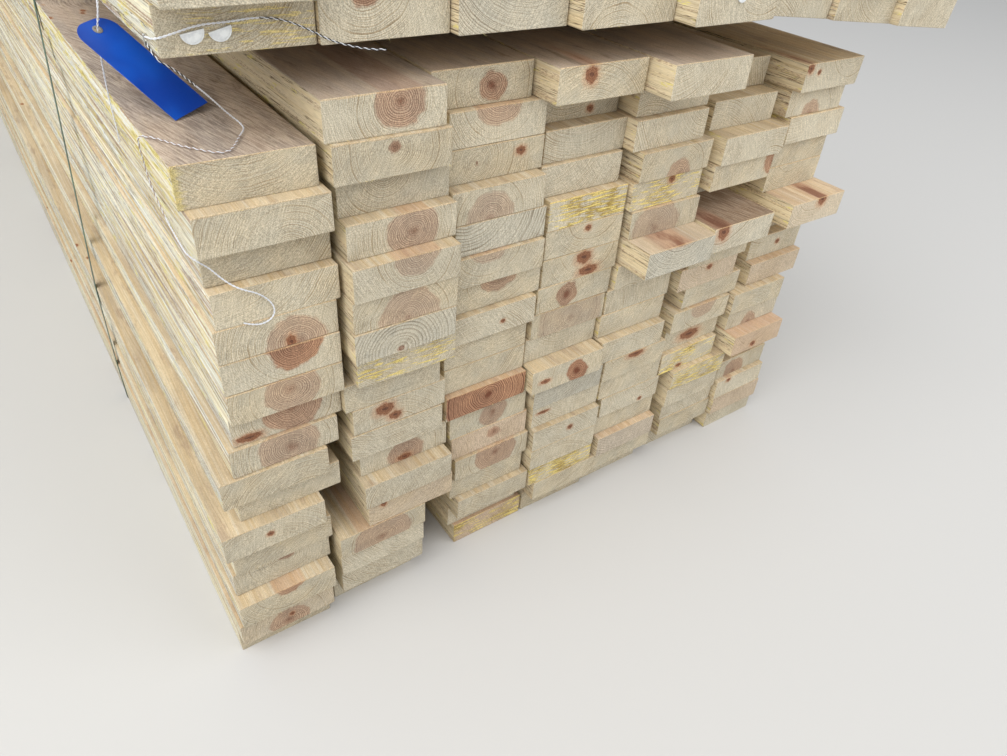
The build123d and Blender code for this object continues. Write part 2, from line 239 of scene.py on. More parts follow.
class Shader:
    """A material being made. Its methods add nodes and return their outputs. Colours are 0-255 sRGB."""

    def __init__(self, name):
        self.material = bpy.data.materials.new(name)
        self.material.use_nodes = True
        self.tree = self.material.node_tree
        self.tree.nodes.clear()
        self.surface = self.tree.nodes.new("ShaderNodeBsdfPrincipled")
        output = self.tree.nodes.new("ShaderNodeOutputMaterial")
        self.tree.links.new(self.surface.outputs[0], output.inputs["Surface"])
        self.here = self.node("TexCoord", output="Object")

    def put(self, socket, value):
        if isinstance(value, bpy.types.NodeSocket):
            self.tree.links.new(value, socket)
        elif value is not None:
            socket.default_value = srgb(*value) if socket.type == "RGBA" else value

    def node(self, kind, inputs=(), output=0, **settings):
        made = self.tree.nodes.new("ShaderNode" + kind)
        for key, value in settings.items():
            setattr(made, key, value)
        for key, value in dict(inputs).items():
            self.put(made.inputs[key], value)
        return made.outputs[output]

    def attribute(self, name):
        return self.node("Attribute", attribute_name=name, output="Vector")

    def math(self, operation, a, b=None, c=None, clamp=False):
        return self.node("Math", {0: a, 1: b, 2: c}, operation=operation, use_clamp=clamp)

    def times(self, *values):
        product = values[0]
        for value in values[1:]:
            product = self.math("MULTIPLY", product, value)
        return product

    def unevenly(self, value, noise, amount):
        """value, moved either way by a noise of 0 to 1."""
        return self.math("MULTIPLY_ADD", self.math("SUBTRACT", noise, 0.5), amount, value)

    def vector(self, operation, a, b=None, output=0):
        return self.node("VectorMath", {0: a, 1: b}, output, operation=operation)

    def length(self, vector):
        return self.vector("LENGTH", vector, output=1)

    def split(self, vector):
        return self.node("SeparateXYZ", {0: vector}).node.outputs

    def join(self, x, y, z):
        return self.node("CombineXYZ", {0: x, 1: y, 2: z})

    def noise(self, place, scale=1.0, detail=2.0, roughness=0.5):
        """Noise at a place. scale is one number, or one for each axis."""
        if isinstance(scale, tuple):
            place, scale = self.vector("MULTIPLY", place, scale), 1.0
        inputs = {"Vector": place, "Scale": scale, "Detail": detail, "Roughness": roughness}
        return self.node("TexNoise", inputs)

    def noise_along(self, value, scale):
        return self.node("TexNoise", {"W": value, "Scale": scale, "Detail": 1.0}, noise_dimensions="1D")

    def steps(self, value, low, high, to_low=0.0, to_high=1.0):
        """value taken smoothly from low..high to to_low..to_high, and held beyond."""
        inputs = {"Value": value, "From Min": low, "From Max": high, "To Min": to_low, "To Max": to_high}
        return self.node("MapRange", inputs, interpolation_type="SMOOTHSTEP")

    def lines(self, noise, low, high):
        """1 along the lines where a noise passes its middle, 0 away from them."""
        away = self.math("ABSOLUTE", self.math("SUBTRACT", noise, 0.5))
        return self.steps(away, low, high, 1.0, 0.0)

    def blend(self, factor, a, b, kind="MIX"):
        return self.node("Mix", {0: factor, 6: a, 7: b}, 2, data_type="RGBA", blend_type=kind)

    def mottled(self, pattern, low, high, first, second):
        """Two colours by a pattern: the first at low, the second at high."""
        return self.blend(self.steps(pattern, low, high), first, second)

    def tinted(self, colour, *tints):
        """The colour with tints over it: each a pattern, its range, the strengths there, and its colour."""
        for pattern, low, high, to_low, to_high, tint in tints:
            colour = self.blend(self.steps(pattern, low, high, to_low, to_high), colour, tint)
        return colour

    def bump(self, height, distance, strength):
        return self.node("Bump", {"Height": height, "Distance": distance, "Strength": strength})

    def finish(self, **sockets):
        for key, value in sockets.items():
            self.put(self.surface.inputs[key.replace("_", " ")], value)
        return self.material


class Wood(Shader):
    """A shader with what each board's mesh stores on its points, and the patterns that its faces share."""

    def __init__(self, name):
        super().__init__(name)
        self.grain = self.attribute("grain")
        self.place = self.attribute("place")
        self.heart_radius, self.pink, self.weather = self.split(self.attribute("tones"))
        self.grey, self.torn, self.bright = self.split(self.attribute("tones2"))
        self.depth, self.ring, self.saw_angle = self.split(self.attribute("tones3"))
        self.fuzz, self.slope, self.streaky = self.split(self.attribute("tones4"))
        self.x, self.y, self.z = self.split(self.place)

    def shifted(self, shift):
        return self.place if shift is None else self.vector("ADD", self.place, shift)

    def streaks(self, across, along, shift=None, detail=3.0, roughness=0.6):
        """Noise that is long and thin along the grain."""
        return self.noise(self.shifted(shift), (across, along, across), detail, roughness)

    def rings(self):
        """The yearly rings round the pith: how dark the late wood is here, and the distance from the pith."""
        wander = self.streaks(9, 1.1, detail=2.0, roughness=0.5)
        ripple = self.streaks(42, 3.0, detail=2.0, roughness=0.5)
        x, _, z = self.split(self.grain)
        x, z = self.unevenly(x, wander, 0.024), self.unevenly(z, wander, -0.018)
        radius = self.unevenly(self.length(self.join(x, 0.0, z)), ripple, 0.0044)
        count = self.math("DIVIDE", radius, self.ring)
        count = self.math("MULTIPLY_ADD", self.noise_along(count, 0.35), 1.8, count)
        phase = self.math("FRACT", count)
        late = self.times(self.steps(phase, 0.3, 0.86), self.steps(phase, 0.88, 1.0, 1.0, 0.0))
        return self.times(late, self.steps(self.noise_along(count, 0.9), 0.25, 0.75, 0.35, 1.0)), radius

    def heart(self, radius):
        """1 in the heartwood, 0 in the sapwood, and the distance from the pith with an uneven edge."""
        uneven = self.unevenly(radius, self.streaks(40, 1.5, detail=4.0, roughness=0.62), 0.021)
        inside = self.steps(self.math("SUBTRACT", uneven, self.heart_radius), -0.0022, 0.0026, 1.0, 0.0)
        return inside, uneven

    def from_front(self):
        """The distance from the stack's front, along the boards."""
        return self.math("ADD", self.split(self.here)[1], HALF_LENGTH)

    def placed_knot(self, layer, unevenness):
        """The distance from a knot of LOOKS, which is about 1 at the knot's rim."""
        inside = self.attribute(layer)
        warp = self.noise(inside, 1.4, detail=3.0, roughness=0.65)
        return self.unevenly(self.length(inside), warp, unevenness)

    def scattered_knots(self, colour, across, along):
        """The colour with knots over a face. Each cell of the pattern has one or none."""
        place = self.vector("MULTIPLY", self.shifted((0.06, 0.2, 0.09)), (across, along, across))
        chance = self.split(self.node("TexVoronoi", {"Vector": place}, output="Color"))[0]
        none_here = self.steps(chance, KNOT_CHANCE, KNOT_CHANCE + 0.01)
        near_front = self.steps(self.from_front(), *SCATTERED_FROM, 1.0, 0.0)
        cell = self.node("TexVoronoi", {"Vector": place})
        cell = self.math("ADD", cell, self.math("MAXIMUM", none_here, near_front))
        cell = self.unevenly(cell, self.streaks(60, 20, detail=2.0), 0.09)
        rim = self.times(self.steps(cell, 0.07, 0.085), self.steps(cell, 0.085, 0.1, 1.0, 0.0))
        colour = self.tinted(
            colour,
            (cell, 0.1, 0.16, 0.5, 0.0, (200, 146, 96)),
            (cell, 0.075, 0.095, 0.85, 0.0, (150, 92, 58)),
        )
        return self.blend(self.times(rim, 0.8), colour, (84, 48, 32))

    def done(self, colour, shade, height, distance):
        shade = self.times(shade, self.bright)
        colour = self.blend(1.0, colour, self.join(shade, shade, shade), kind="MULTIPLY")
        bump = self.bump(height, distance, 0.8)
        return self.finish(Base_Color=colour, Roughness=0.8, Normal=bump, Specular_IOR_Level=0.22)


def end_material():
    """End grain: rings, heartwood, knots, drying cracks, saw marks and torn fibres."""
    wood = Wood("wood_ends")
    late, radius = wood.rings()
    heart, uneven_radius = wood.heart(radius)
    blotch = wood.streaks(22, 5)
    patch = wood.streaks(15, 4, (2.7, 0.0, 5.3), detail=2.0)
    contrast = wood.math("MAXIMUM", wood.steps(patch, 0.38, 0.62, 0.3, 1.0), wood.grey)

    sap = wood.mottled(blotch, 0.3, 0.7, (208, 194, 165), (192, 183, 161))
    sap = wood.tinted(sap, (wood.saw_angle, 0.7, 1.9, 0.0, 0.65, (206, 197, 175)))
    sap = wood.blend(wood.times(wood.grey, 0.6), sap, (190, 188, 176))
    sap = wood.blend(wood.times(wood.pink, 0.5), sap, (198, 158, 128))
    late_colour = wood.blend(wood.grey, (152, 130, 96), (100, 96, 88))
    sap_late = wood.blend(wood.math("MAXIMUM", contrast, 0.3), sap, late_colour)
    deep = wood.math("MULTIPLY", wood.depth, 0.6, clamp=True)
    early_colour = wood.mottled(patch, 0.4, 0.62, (188, 142, 108), (164, 122, 94))
    heart_early = wood.blend(deep, sap, early_colour)
    heart_late = wood.blend(wood.math("MULTIPLY_ADD", deep, 0.6, 0.35), heart_early, (104, 62, 44))
    heart_ring = wood.math("MULTIPLY", late, 1.5, clamp=True)
    heart_colour = wood.blend(heart_ring, heart_early, heart_late)
    colour = wood.blend(heart, wood.blend(late, sap, sap_late), heart_colour)
    core = wood.times(wood.steps(uneven_radius, 0.0, 0.012, 1.0, 0.0), heart, deep)
    colour = wood.blend(wood.math("MULTIPLY", core, 1.2, clamp=True), colour, (112, 66, 46))

    # Drying cracks run out from the pith
    grain_x, _, grain_z = wood.split(wood.grain)
    angle = wood.math("ARCTAN2", grain_z, grain_x)
    rays = wood.join(wood.times(angle, 2.4), wood.times(radius, 6.0), wood.bright)
    crack = wood.lines(wood.noise(rays, 1.7, detail=1.0), 0.004, 0.012)
    crack = wood.times(crack, wood.steps(radius, 0.012, 0.03, 1.0, 0.0), wood.steps(patch, 0.5, 0.56))
    colour = wood.blend(wood.times(crack, 0.7), colour, (98, 66, 46))

    # Saw marks, in one slanted direction for each board
    cosine, sine = wood.math("COSINE", wood.saw_angle), wood.math("SINE", wood.saw_angle)
    along = wood.math("ADD", wood.times(wood.x, cosine), wood.times(wood.z, sine))
    across = wood.math("SUBTRACT", wood.times(wood.x, sine), wood.times(wood.z, cosine))
    saw = wood.noise(wood.join(wood.times(across, 640.0), wood.y, wood.times(along, 40.0)), roughness=0.6)
    grit = wood.streaks(900, 900, detail=2.0)

    # Torn yellow fibres on some ends, and yellow fuzz at some boards' left edges
    tear = wood.noise(wood.place, (26.0, 1.0, 300.0), detail=4.0, roughness=0.65)
    torn_here = wood.math("MULTIPLY_ADD", patch, 0.5, wood.times(wood.torn, 0.1))
    torn_here = wood.steps(wood.math("ADD", tear, torn_here), 0.8, 0.87)
    torn_here = wood.times(torn_here, wood.steps(wood.torn, 0.05, 0.3))
    shreds = wood.mottled(tear, 0.48, 0.6, (156, 130, 70), (234, 212, 130))
    colour = wood.blend(torn_here, colour, shreds)
    left_edge = wood.steps(wood.unevenly(wood.x, tear, 0.03), 0.002, 0.011, 1.0, 0.0)
    colour = wood.blend(wood.times(wood.fuzz, left_edge, 0.7), colour, (206, 190, 122))

    for layer in ("knot_a", "knot_b"):
        distance = wood.placed_knot(layer, 1.1)
        knot_rings = wood.noise(wood.join(wood.times(distance, 8.0), 0.0, 0.0), detail=1.0)
        knot = wood.mottled(knot_rings, 0.35, 0.65, (158, 108, 76), (104, 60, 42))
        knot = wood.tinted(knot, (distance, 0.15, 0.4, 1.0, 0.0, (92, 52, 38)))
        colour = wood.tinted(colour, (distance, 0.8, 1.7, 0.6, 0.0, (190, 148, 114)))
        colour = wood.blend(wood.steps(distance, 0.72, 1.02, 0.92, 0.0), colour, knot)

    # The upper arris has loose peach-coloured fibres, and its lighter tint is partly a painted highlight
    # where they catch the light
    arris = wood.unevenly(wood.math("SUBTRACT", wood.z, BOARD_THICKNESS - 0.0022), blotch, 0.006)
    colour = wood.tinted(colour, (arris, -0.0003, 0.0008, 0.0, 0.4, (228, 192, 142)))

    shade = wood.times(wood.steps(saw, 0.35, 0.66, 0.84, 1.06), wood.steps(grit, 0.38, 0.62, 0.72, 1.15))
    return wood.done(colour, shade, wood.math("MULTIPLY_ADD", saw, 0.8, grit), 1.0 * MM)


def side_material():
    """The boards' narrow faces: pale, streaked along the grain, with yellow fuzz and thin dark cracks."""
    wood = Wood("wood_sides")
    # The grain runs out of the face at a slant of its own on each board
    wood.place = wood.join(wood.x, wood.y, wood.math("MULTIPLY_ADD", wood.y, wood.slope, wood.z))
    late, radius = wood.rings()
    heart, _ = wood.heart(radius)
    wide = wood.streaks(34, 0.7, (7.7, 2.2, 4.9), detail=2.0)
    streak = wood.streaks(170, 1.5)
    streak_2 = wood.streaks(130, 2.1, (3.1, 5.7, 1.3))
    plain = wood.mottled(wide, 0.36, 0.62, (226, 207, 168), (208, 190, 154))
    colour = wood.mottled(wide, 0.36, 0.62, (230, 222, 194), (212, 213, 201))
    gold = wood.times(wood.steps(wide, 0.57, 0.66), wood.steps(wood.bright, 0.97, 1.0), 0.8)
    colour = wood.blend(gold, colour, (226, 194, 134))
    colour = wood.tinted(
        colour,
        (streak, 0.52, 0.6, 0.0, 0.8, (196, 168, 108)),
        (streak, 0.36, 0.46, 1.0, 0.0, (236, 238, 230)),
        (streak_2, 0.56, 0.64, 0.0, 0.75, (166, 136, 114)),
        (streak_2, 0.34, 0.43, 0.85, 0.0, (242, 234, 204)),
    )
    colour = wood.blend(wood.steps(wood.streaky, 0.0, 1.0, 0.1, 1.0), plain, colour)
    colour = wood.blend(wood.times(late, 0.3), colour, (168, 144, 98))
    colour = wood.blend(wood.times(heart, 0.2), colour, (206, 156, 112))

    # Pink-brown specks, thin dark cracks and tufts of yellow fuzz
    speck = wood.times(wood.streaks(700, 160, detail=1.0), wood.steps(streak_2, 0.46, 0.56))
    colour = wood.tinted(colour, (speck, 0.5, 0.6, 0.0, 0.5, (142, 104, 90)))
    cracks = wood.streaks(120, 3.4, (1.9, 8.3, 6.1), roughness=0.65)
    crack = wood.times(wood.lines(cracks, 0.004, 0.018), wood.steps(wide, 0.4, 0.48), 0.85)
    colour = wood.blend(crack, colour, (96, 78, 58))
    fuzz = wood.streaks(85, 14, (4.4, 1.2, 9.6), detail=4.0, roughness=0.75)
    fuzz = wood.math("MULTIPLY_ADD", wood.fuzz, 0.06, wood.math("MULTIPLY_ADD", wood.streaky, 0.03, fuzz))
    colour = wood.tinted(
        colour,
        (fuzz, 0.59, 0.66, 0.0, 0.8, (222, 208, 126)),
        (fuzz, 0.67, 0.73, 0.0, 0.6, (168, 142, 66)),
    )
    colour = wood.scattered_knots(colour, across=5.4, along=2.6)

    # Painted shade: each side is darkened towards its arrises, where two boards meet
    arris = wood.math("MINIMUM", wood.z, wood.math("SUBTRACT", BOARD_THICKNESS, wood.z))
    fibre = wood.streaks(1200, 45, detail=2.0)
    shade = wood.times(wood.steps(arris, 0.0004, 0.0028, 0.72, 1.0), wood.steps(fibre, 0.3, 0.7, 0.88, 1.08))
    height = wood.math("MULTIPLY_ADD", streak, 2.5, wood.math("MULTIPLY_ADD", fuzz, 3.0, fibre))
    return wood.done(colour, shade, height, 1.1 * MM)


def top_material():
    """The broad faces. Fresh ones are warm, and weathered ones are grey-brown with saw marks."""
    wood = Wood("wood_tops")
    wood.place = wood.join(wood.math("MULTIPLY_ADD", wood.y, wood.slope, wood.x), wood.y, wood.z)
    late, radius = wood.rings()
    heart, _ = wood.heart(radius)
    blotch = wood.streaks(22, 4)
    streak = wood.streaks(130, 1.6)
    stain = wood.streaks(60, 12, (5.2, 3.9, 0.7), detail=4.0, roughness=0.65)
    fresh = wood.mottled(blotch, 0.35, 0.65, (220, 200, 164), (198, 180, 150))
    fresh = wood.tinted(
        fresh,
        (streak, 0.5, 0.64, 0.0, 0.5, (200, 172, 126)),
        (streak, 0.34, 0.48, 0.5, 0.0, (228, 220, 198)),
        (stain, 0.54, 0.66, 0.0, 0.5, (168, 144, 122)),
    )
    fresh = wood.blend(wood.times(late, 0.35), fresh, (166, 134, 96))
    fresh = wood.blend(wood.times(heart, 0.35), fresh, (198, 146, 112))
    fresh = wood.blend(wood.times(wood.pink, 0.5), fresh, (204, 160, 132))
    old = wood.mottled(blotch, 0.3, 0.7, (194, 173, 152), (162, 149, 137))
    old = wood.tinted(old, (streak, 0.5, 0.7, 0.0, 0.5, (196, 177, 150)))
    old = wood.blend(wood.times(heart, 0.35), old, (150, 108, 88))
    old = wood.tinted(
        old,
        (stain, 0.56, 0.72, 0.0, 0.6, (108, 90, 74)),
        (wood.weather, 1.0, 1.4, 0.0, 0.65, (156, 122, 86)),
    )

    # Saw marks fan out a little from the grain's direction
    from_front = wood.from_front()
    sway = wood.noise(wood.place, 2.0, detail=1.0)
    tilt = wood.math("MULTIPLY_ADD", sway, 0.5, -0.45)
    across = wood.math("SUBTRACT", wood.x, wood.times(from_front, tilt))
    marks_place = wood.join(wood.times(across, 420.0), wood.times(from_front, 24.0), wood.bright)
    marks = wood.noise(marks_place, detail=4.0, roughness=0.65)
    sawn = wood.steps(wood.weather, 0.88, 1.0, 0.3, 1.0)
    old = wood.blend(wood.times(wood.steps(marks, 0.46, 0.62, 0.0, 0.5), sawn), old, (218, 201, 178))
    old = wood.blend(wood.times(wood.steps(marks, 0.38, 0.5, 0.45, 0.0), sawn), old, (120, 100, 84))
    colour = wood.scattered_knots(wood.blend(wood.weather, fresh, old), across=5.0, along=2.6)

    # A knot that shows on the end comes out of the broad face too, if it is near
    distance = wood.placed_knot("knot_a", 1.3)
    colour = wood.tinted(
        colour,
        (distance, 0.9, 1.9, 0.6, 0.0, (178, 134, 106)),
        (distance, 0.7, 1.1, 0.8, 0.0, (126, 82, 62)),
    )

    fibre = wood.streaks(1500, 60, detail=2.0)
    grit = wood.streaks(700, 700, detail=2.0)
    shade = wood.times(wood.steps(fibre, 0.3, 0.7, 0.9, 1.06), wood.steps(grit, 0.38, 0.62, 0.88, 1.06))
    # Painted shade: weathering above 1 darkens the broad face, as for a top in the shade of the boards above
    # it
    shade = wood.times(shade, wood.steps(wood.weather, 1.0, 1.5, 1.0, 0.74))
    height = wood.math("MULTIPLY_ADD", marks, 1.4, wood.math("ADD", grit, fibre))
    return wood.done(colour, shade, height, 0.7 * MM)


# The boards' three materials, how far a face's normal points along an axis for each, and the sharp edges
END_FACE, SIDE_FACE, BROAD_FACE = range(3)
FACING = 0.6
SHARP_FROM = math.radians(40)
# A board that rises less than this over its width counts as level
LEVEL_WITHIN = 1e-3


def linked(name, data):
    """A new object in the scene."""
    made = bpy.data.objects.new(name, data)
    bpy.context.scene.collection.objects.link(made)
    return made


def new_mesh(name, points, faces, materials):
    """A new object with a mesh of its own."""
    mesh = bpy.data.meshes.new(name)
    mesh.from_pydata(points, [], faces)
    for material in materials:
        mesh.materials.append(material)
    return linked(name, mesh)


# Boards
class Board:
    """One board's place: its lower left edge, the ways across and up its section, and where its ends are."""

    def __init__(self, corners):
        flat = corners[:, [0, 2]]
        spread = np.linalg.eigh(np.cov((flat - flat.mean(0)).T))[1]
        across = spread[:, 1] if spread[0, 1] > 0 else -spread[:, 1]
        if abs(across[1]) < LEVEL_WITHIN:
            across = np.array([1.0, 0.0])
        up = np.array([-across[1], across[0]])
        self.across, self.up = across, up
        self.corner = (flat @ across).min() * across + (flat @ up).min() * up
        self.front, self.back = corners[:, 1].min(), corners[:, 1].max()
        self.middle_x = (flat[:, 0].min() + flat[:, 0].max()) / 2


def boards_of(node):
    """The boards of a CAD node from left to right, found as the separate parts of its mesh."""
    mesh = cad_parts[node].data
    keys = [tuple(round(c, 5) for c in v.co) for v in mesh.vertices]
    group = {key: key for key in keys}

    def root(key):
        while group[key] != key:
            group[key] = group[group[key]]
            key = group[key]
        return key

    for face in mesh.polygons:
        first = root(keys[face.vertices[0]])
        for index in face.vertices[1:]:
            group[root(keys[index])] = first
    parts = {}
    for key in group:
        parts.setdefault(root(key), []).append(key)
    return sorted((Board(np.array(part)) for part in parts.values()), key=lambda board: board.middle_x)


def section(radii, width, height):
    """A rounded rectangle, from the lower left corner anticlockwise. radii are those of its four corners."""
    corners = np.array([(0, 0), (width, 0), (width, height), (0, height)])
    centres = corners + INWARD * radii[:, None]
    quarters = np.arange(4)[:, None] + np.arange(CORNER_RUNS + 1) / CORNER_RUNS
    angles = math.pi + quarters * math.pi / 2
    arcs = centres[:, None] + radii[:, None, None] * np.stack([np.cos(angles), np.sin(angles)], axis=2)
    points = []
    for k, arc in enumerate(arcs):
        runs = NARROW_RUNS if k % 2 else BROAD_RUNS
        to_next = arcs[(k + 1) % 4][0] - arc[-1]
        points += [arc, arc[-1] + to_next * (np.arange(1, runs) / runs)[:, None]]
    return np.concatenate(points)


def board_mesh(board, rng):
    """Vertices and faces of one board, with its edges eased unevenly and its faces a little out of true."""
    length = board.back - board.front
    from_end = [d for d in STATIONS_FROM_END if d < length / 2]
    stations = from_end + [length - d for d in reversed(from_end)]
    radii = rng.uniform(*EDGE_RADII, 4) * MM
    phases = rng.uniform(0, 2 * math.pi, (WAVES, 2))[:, 0]
    rates = rng.uniform(*WAVE_RATES, WAVES)
    tilt = rng.uniform(-END_TILT, END_TILT, 2) * MM

    def wave(k, y):
        return (1 + math.sin(rates[k] * y + phases[k])) / 2

    loops = []
    for y in stations:
        ease = END_EASE * MM * max(0.0, 1 - min(y, length - y) / (END_EASE_REACH * MM))
        thinner = (THINNER[0] + THINNER[1] * wave(0, y)) * MM
        narrower = (NARROWER[0] + NARROWER[1] * wave(1, y)) * MM
        width, height = BOARD_WIDTH - narrower - 2 * ease, BOARD_THICKNESS - thinner - 2 * ease
        loop = section(radii * (0.8 + 0.5 * wave(4, y)), width, height)
        loop = loop + np.array([narrower * wave(2, y) + ease, ease])
        x, z = loop.T
        if not loops:
            lean = tilt[0] * (x / BOARD_WIDTH - 0.5) + tilt[1] * (z / BOARD_THICKNESS - 0.5)
            setback = lean - lean.min()
        loops.append(np.column_stack([x, y + setback * max(0.0, 1 - y / TILT_REACH), z]))

    count = len(loops[0])
    around = [(i, (i + 1) % count) for i in range(count)]
    points, total = [*loops], len(loops) * count
    faces = [
        (base + i, base + j, base + count + j, base + count + i)
        for base in range(0, total - count, count) for i, j in around
    ]
    # Each end has its rings of points, and a last face within them
    for outer, before, inward in ((loops[0], 0, 1), (loops[-1], total - count, -1)):
        middle = outer.copy()
        middle[:, 0] = np.clip(outer[:, 0], *MIDDLE_LINE)
        middle[:, 2] = BOARD_THICKNESS / 2
        for share in END_RINGS:
            ring = middle + (outer - middle) * share
            ring[:, 1] += rng.uniform(0.0, END_ROUGHNESS, count) * MM * inward
            points.append(ring)
            faces += [(before + i, total + i, total + j, before + j)[::inward] for i, j in around]
            before = total
            total += count
        faces.append(tuple(range(before, before + count))[::inward])
    return np.concatenate(points), faces


def look_of(name, rng):
    """A board's look, with a pith well above it or below it if it isn't in LOOKS."""
    found = LOOKS.get(name)
    if found is None:
        across = rng.uniform(*PITH_ACROSS)
        found = look(across, rng.choice([-1, 1]) * rng.uniform(*PITH_AWAY) + MID_HEIGHT, 0)
    return {**found, "weather": TOP_COURSE_WEATHER} if name[1] == 1 else found


def tone_at(column, course):
    """How bright a board is by its place: darker downwards, and from column 2 on brighter to the right."""
    if course in UPPER_COURSES:
        return 1.0
    by_column = 1.0 if column == 1 else 0.925 + 0.025 * column
    return by_column * (1.0 - 0.007 * max(0, course - 4))


def stored_values(name, its_look, points, shift, rng):
    """What the wood shader needs on each point of a board: a vector for each layer."""
    x, y, z = points.T
    along = y + shift
    pith_x, pith_z, heart = (value * MM for value in its_look["heart"])
    tone = rng.uniform(*TONES) * tone_at(*name)
    saw_angle, slope = rng.uniform(*SAW_ANGLES), rng.uniform(-GRAIN_SLOPE, GRAIN_SLOPE)
    values = {
        "grain": np.column_stack([x - pith_x, along, z - pith_z]),
        "place": np.column_stack([x, along, z]),
    }
    for layer, value in (
        ("tones", (heart, its_look["pink"], its_look["weather"])),
        ("tones2", (its_look["grey"], its_look["torn"], tone)),
        ("tones3", (its_look["depth"], its_look["ring"] * MM, saw_angle)),
        ("tones4", (its_look["fuzz"], slope, STREAKY_FIRST if name[0] == 1 else STREAKY_OTHERS)),
        ("knot_a", NO_KNOT),
        ("knot_b", NO_KNOT),
    ):
        values[layer] = np.tile(value, (len(x), 1))
    for layer, knot in zip(("knot_a", "knot_b"), its_look["knots"]):
        knot_x, knot_z, half_x, half_z = (value * MM for value in knot)
        values[layer] = np.column_stack([(x - knot_x) / half_x, y / KNOT_LENGTH, (z - knot_z) / half_z])
    return values


def seed_of(column, course):
    """A seed of its own for each board."""
    return column * 31 + (7000 + int(course[1]) * 500 if course in UPPER_COURSES else course * 977)


def course_piece(piece_name, node, course, materials, first_column=1):
    """All the boards of one course as one piece. Returns them by their column and course."""
    boards = {(column, course): board for column, board in enumerate(boards_of(node), first_column)}
    all_points, all_faces, layers = [], [], {}
    offset = 0
    for name, board in boards.items():
        seed = seed_of(*name)
        rng = np.random.default_rng(seed)
        its_look = look_of(name, rng)
        points, faces = board_mesh(board, rng)
        x, y, z = points.T
        flat = np.outer(x, board.across) + np.outer(z, board.up) + board.corner
        all_points.append(np.column_stack([flat[:, 0], board.front + y, flat[:, 1]]))
        all_faces += [tuple(i + offset for i in face) for face in faces]
        offset += len(points)
        shift = (seed % NOISE_PLACES) * NOISE_PLACES_APART
        for layer, values in stored_values(name, its_look, points, shift, rng).items():
            layers.setdefault(layer, []).append(values)
    piece = new_mesh(piece_name, np.concatenate(all_points).tolist(), all_faces, materials)
    mesh = piece.data
    for layer, parts in layers.items():
        attribute = mesh.attributes.new(layer, "FLOAT_VECTOR", "POINT")
        attribute.data.foreach_set("vector", np.concatenate(parts).astype(np.float32).ravel())
    for face in mesh.polygons:
        if abs(face.normal.y) > FACING:
            face.material_index = END_FACE
        elif abs(face.normal.z) > FACING:
            face.material_index = BROAD_FACE
        else:
            face.material_index = SIDE_FACE
    mesh.polygons.foreach_set("use_smooth", [True] * len(mesh.polygons))
    mesh.set_sharp_from_angle(angle=SHARP_FROM)
    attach(piece, "root")
    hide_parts(node)
    return boards


def loose_fibres(name, boards, material):
    """Fibres that the saw left hanging: tufts on some left edges, and a few along the front edges."""
    rng = np.random.default_rng(FIBRE_SEED)
    roots, ways = [], []

    def add(board, x, depth, z, way, spread):
        flat = board.corner + x * board.across + z * board.up
        roots.append((flat[0], board.front + depth, flat[1]))
        ways.append(np.array(way) + rng.normal(0, spread, 3))

    for (column, course), board in boards.items():
        for _ in range(FIBRES_ON_FRONT_EDGE):
            x = rng.uniform(0.02, 0.98) * BOARD_WIDTH
            z = rng.choice([FIBRE_FROM_ARRIS, BOARD_THICKNESS - FIBRE_FROM_ARRIS])
            add(board, x, FIBRE_ROOT, z, (rng.uniform(-1, 1), -0.5, -0.4), 0.35)
        if column == 1:
            tufts = rng.uniform(0.0, TUFT_REACH, (TUFTS, 2)) * (1.0, BOARD_THICKNESS / TUFT_REACH)
            for _ in range(FIBRES_ON_SIDE):
                depth, z = tufts[rng.integers(TUFTS)] + rng.normal(0, 1, 2) * TUFT_SPREAD
                add(board, FIBRE_ROOT, abs(depth), min(abs(z), BOARD_THICKNESS), (-0.45, -0.8, 0.1), 0.4)
        fuzz = LOOKS.get((column, course), DEFAULT_LOOK)["fuzz"]
        for _ in range(round(FIBRES_ON_FUZZY_EDGE * fuzz)):
            z = rng.uniform(0.05, 1.0) * BOARD_THICKNESS
            x, depth = rng.uniform(0.0005, 0.006), FIBRE_ROOT + rng.exponential(0.006)
            add(board, x, depth, z, (-0.5, -0.6, -0.2), 0.5)
    roots, ways = np.array(roots), np.array(ways)
    ways /= np.linalg.norm(ways, axis=1)[:, None]
    count = len(roots)
    lengths = rng.uniform(*FIBRE_LENGTHS, (count, 1)) * MM
    bends = rng.normal(0, FIBRE_BEND, (count, 3))
    sides = np.cross(ways, rng.normal(0, 1, (count, 3)))
    sides /= np.linalg.norm(sides, axis=1)[:, None]
    # A fibre is a narrow strip with a pair of points at each share of its length
    each = 2 * len(FIBRE_SHARES)
    points = np.empty((count, each, 3))
    for k, share in enumerate(FIBRE_SHARES):
        middle = roots + lengths * (ways * share + bends * share * share)
        half = sides * FIBRE_WIDTH * (0.5 - 0.38 * share)
        points[:, 2 * k], points[:, 2 * k + 1] = middle - half, middle + half
    points = np.clip(points, np.array(cad_box[0]) + CAD_MARGIN, np.array(cad_box[1]) - CAD_MARGIN)
    faces = [
        (pair, pair + 1, pair + 3, pair + 2)
        for first in range(0, count * each, each) for pair in range(first, first + each - 2, 2)
    ]
    piece = new_mesh(name, points.reshape(-1, 3).tolist(), faces, [material])
    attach(piece, "root")


def fibre_material():
    shader = Shader("wood_fibres")
    tone = shader.noise(shader.here, 400.0)
    colour = shader.mottled(tone, 0.35, 0.65, (232, 218, 160), (204, 180, 112))
    return shader.finish(Base_Color=colour, Roughness=0.85, Specular_IOR_Level=0.2)


# Strings
STRING_DIAMETER = 2.2 * MM
STRAND_PITCH = 9.0 * MM
STRAND_RADIUS = STRING_DIAMETER / 4
STRAND_THINNEST = 0.86
STRAND_SIDES = 6
STRING_STEP = 1.1 * MM
FEWEST_STEPS = 8
FIRST_STRING_SEED = 31

